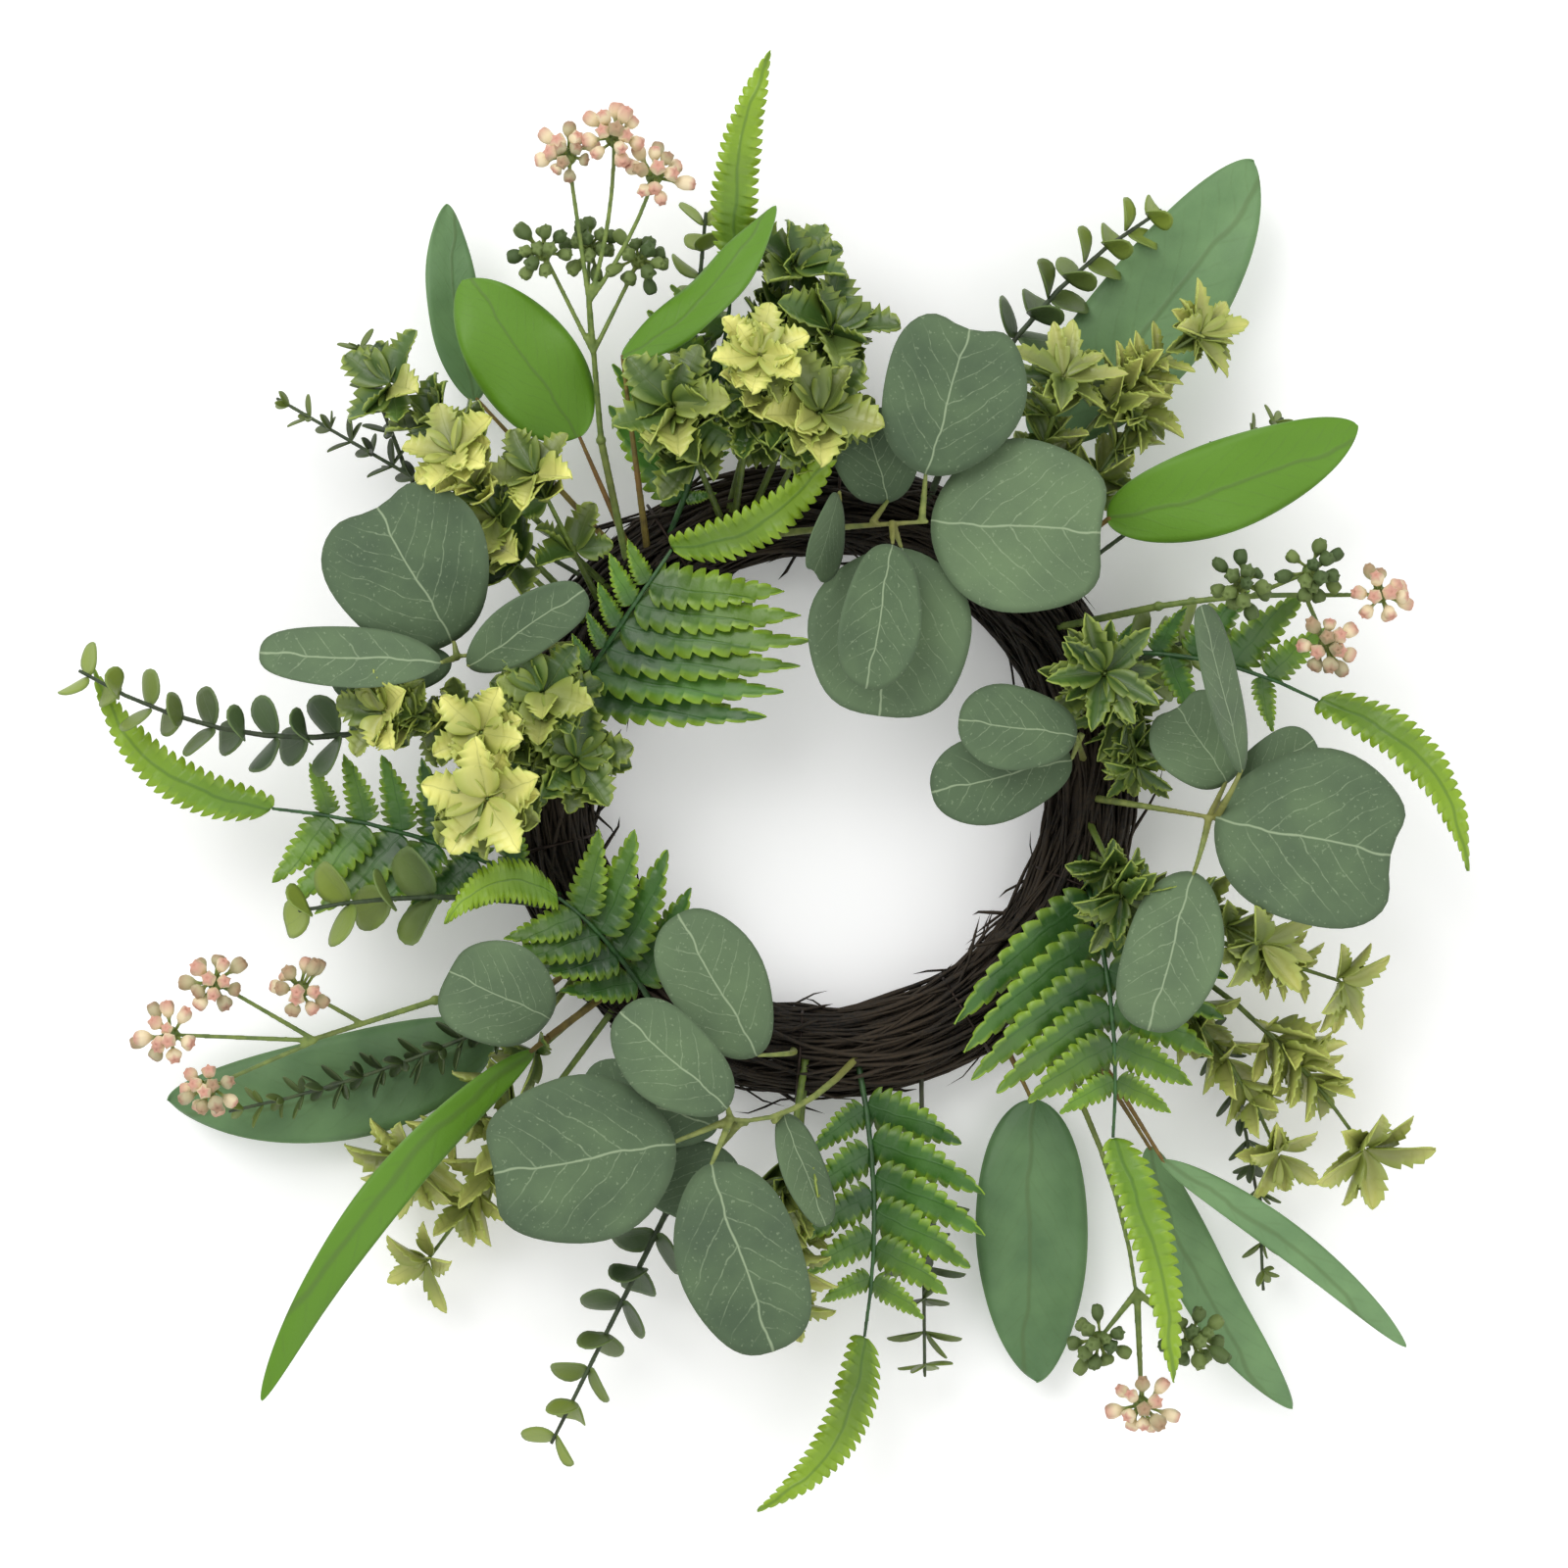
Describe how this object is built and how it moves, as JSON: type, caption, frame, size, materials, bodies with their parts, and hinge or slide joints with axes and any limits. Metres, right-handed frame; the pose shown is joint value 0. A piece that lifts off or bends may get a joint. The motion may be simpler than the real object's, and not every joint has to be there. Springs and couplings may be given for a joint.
{
  "type": "artificial greenery crown",
  "caption": "Ring of dark twigs dressed with artificial eucalyptus, fern, willow, variegated holly and bud sprays on bendable stems, with an open centre.",
  "frame": {"origin": "centre of the twig ring, on the plane that its back rests on", "axes": "+Z out of the crown's back through its leafy front, along the ring's axis; +Y towards the side with the tall fern and bud sprays; +X to the right as seen from the front"},
  "size_m": [0.4275, 0.4472, 0.0984],
  "materials": {
    "twigs": "dark brown dried twigs, rough bark",
    "wire": "dark brown coated binding wire",
    "silver_dollar_stem": "olive plastic over wire, matte",
    "silver_dollar_leaf": "printed grey-green cloth, matte, with pale veins",
    "willow_stem": "olive to reddish brown plastic over wire",
    "willow_leaf": "printed blue-green and leaf-green cloth, matte",
    "fern_stalk": "dark green moulded plastic",
    "fern_leaf": "moulded soft plastic, green with yellow-green teeth",
    "holly_stem": "olive moulded plastic",
    "holly_leaf": "moulded soft plastic, olive with yellow-green edges",
    "penny_stem": "dark green moulded plastic",
    "penny_leaf": "moulded soft plastic, dark grey-green with lime tips",
    "box_stem": "dark brown moulded plastic",
    "box_leaf": "moulded soft plastic, dark green",
    "bud_stem": "pale olive plastic over wire",
    "bud": "moulded buds, peach pink and dull green"
  },
  "bodies": {
    "crown": {"twig_bundle": "twigs", "binding_wire": "wire", "silver_dollar_stems": "silver_dollar_stem", "silver_dollar_leaves_top": "silver_dollar_leaf", "silver_dollar_leaves_left": "silver_dollar_leaf", "silver_dollar_leaves_bottom": "silver_dollar_leaf", "silver_dollar_leaves_right": "silver_dollar_leaf", "willow_stems": "willow_stem", "willow_leaves_top_right": "willow_leaf", "willow_leaves_top_left": "willow_leaf", "willow_leaves_bottom_left": "willow_leaf", "willow_leaves_bottom_right": "willow_leaf", "fern_stalks": "fern_stalk", "fern_leaflets_top": "fern_leaf", "fern_leaflets_inner_left": "fern_leaf", "fern_leaflets_left": "fern_leaf", "fern_leaflets_bottom_left": "fern_leaf", "fern_leaflets_right": "fern_leaf", "fern_leaflets_bottom": "fern_leaf", "fern_leaflets_top_right": "fern_leaf", "holly_stems": "holly_stem", "holly_leaves_top_left": "holly_leaf", "holly_leaves_top": "holly_leaf", "holly_leaves_left": "holly_leaf", "holly_leaves_top_right": "holly_leaf", "holly_leaves_right": "holly_leaf", "holly_leaves_bottom_right": "holly_leaf", "holly_leaves_bottom_left": "holly_leaf", "holly_leaves_bottom": "holly_leaf", "penny_stems": "penny_stem", "penny_leaves_lower_left": "penny_leaf", "penny_leaves_top_right": "penny_leaf", "penny_leaves_top": "penny_leaf", "penny_leaves_right": "penny_leaf", "box_stems": "box_stem", "box_leaves_top_left": "box_leaf", "box_leaves_top_right": "box_leaf", "box_leaves_right": "box_leaf", "box_leaves_bottom_left": "box_leaf", "box_leaves_bottom": "box_leaf", "bud_stems": "bud_stem", "buds_bottom": "bud"},
    "bud_spray_top": {"bud_stem_top": "bud_stem", "buds_top": "bud"},
    "bud_spray_right": {"bud_stem_right": "bud_stem", "buds_right": "bud"},
    "bud_spray_left": {"bud_stem_left": "bud_stem", "buds_left": "bud"},
    "penny_spray_left": {"penny_stem_left": "penny_stem", "penny_leaves_left": "penny_leaf"},
    "penny_spray_bottom": {"penny_stem_bottom": "penny_stem", "penny_leaves_bottom": "penny_leaf"},
    "willow_spray_right": {"willow_stem_right": "willow_stem", "willow_leaf_right": "willow_leaf"},
    "willow_spray_lower_left": {"willow_stem_lower_left": "willow_stem", "willow_leaf_lower_left": "willow_leaf"}
  },
  "joints": [
    {"name": "bud_spray_top_bend", "type": "hinge", "parent": "crown", "child": "bud_spray_top", "pos_m": [-0.06697, 0.10359, 0.04102], "axis": [0.9975, 0.0712, 0], "range_deg": [0, 30]},
    {"name": "bud_spray_right_bend", "type": "hinge", "parent": "crown", "child": "bud_spray_right", "pos_m": [0.10357, 0.05293, 0.04301], "axis": [0.1504, -0.9886, 0], "range_deg": [0, 15]},
    {"name": "bud_spray_left_bend", "type": "hinge", "parent": "crown", "child": "bud_spray_left", "pos_m": [-0.11779, -0.06793, 0.03908], "axis": [-0.3011, 0.9536, 0], "range_deg": [0, 30]},
    {"name": "penny_spray_left_bend", "type": "hinge", "parent": "crown", "child": "penny_spray_left", "pos_m": [-0.13971, 0.01404, 0.04706], "axis": [-0.1512, 0.9885, 0], "range_deg": [0, 30]},
    {"name": "penny_spray_bottom_bend", "type": "hinge", "parent": "crown", "child": "penny_spray_bottom", "pos_m": [-0.04694, -0.13388, 0.02109], "axis": [-0.8944, 0.4472, 0], "range_deg": [0, 25]},
    {"name": "willow_spray_right_bend", "type": "hinge", "parent": "crown", "child": "willow_spray_right", "pos_m": [0.07946, 0.07258, 0.03986], "axis": [0.6139, -0.7894, 0], "range_deg": [0, 30]},
    {"name": "willow_spray_lower_left_bend", "type": "hinge", "parent": "crown", "child": "willow_spray_lower_left", "pos_m": [-0.08369, -0.07975, 0.03702], "axis": [-0.6247, 0.7809, 0], "range_deg": [0, 30]}
  ]
}
